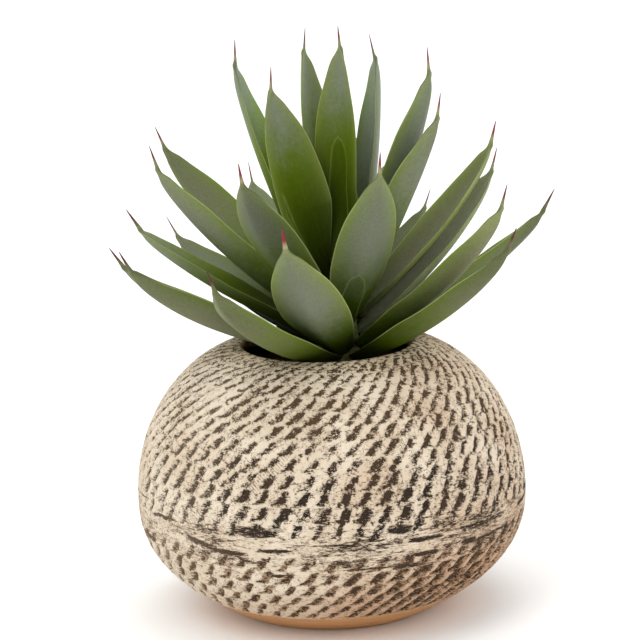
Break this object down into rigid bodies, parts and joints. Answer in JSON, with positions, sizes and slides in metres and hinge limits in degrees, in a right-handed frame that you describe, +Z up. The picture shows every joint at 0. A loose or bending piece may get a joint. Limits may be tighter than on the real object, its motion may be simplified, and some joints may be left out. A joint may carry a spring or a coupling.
{
  "type": "potted aloe",
  "caption": "Rosette succulent of stiff pointed grey-green leaves with red terminal spines, in a round textured earthenware pot that rests on a flat foot.",
  "frame": {"origin": "centre of the pot's flat foot, on the surface the pot stands on", "axes": "+Z up along the pot's axis; the picture's front faces -Y, with +X to its right"},
  "size_m": [0.2094, 0.2104, 0.2691],
  "materials": {
    "pot": "matte",
    "soil": "matte",
    "stem": "matte",
    "leaf": "satin"
  },
  "bodies": {
    "root": {"pot": "pot", "soil": "soil", "stem": "stem", "leaf_01": "leaf", "leaf_02": "leaf", "leaf_03": "leaf", "leaf_04": "leaf", "leaf_05": "leaf", "leaf_06": "leaf", "leaf_07": "leaf", "leaf_08": "leaf", "leaf_09": "leaf", "leaf_10": "leaf", "leaf_11": "leaf", "leaf_12": "leaf", "leaf_13": "leaf", "leaf_14": "leaf", "leaf_15": "leaf", "leaf_16": "leaf", "leaf_17": "leaf", "leaf_18": "leaf", "leaf_19": "leaf", "leaf_20": "leaf", "leaf_21": "leaf", "leaf_22": "leaf", "leaf_23": "leaf", "leaf_24": "leaf", "leaf_25": "leaf", "leaf_26": "leaf", "leaf_27": "leaf", "leaf_28": "leaf", "leaf_29": "leaf", "leaf_30": "leaf"}
  },
  "joints": []
}
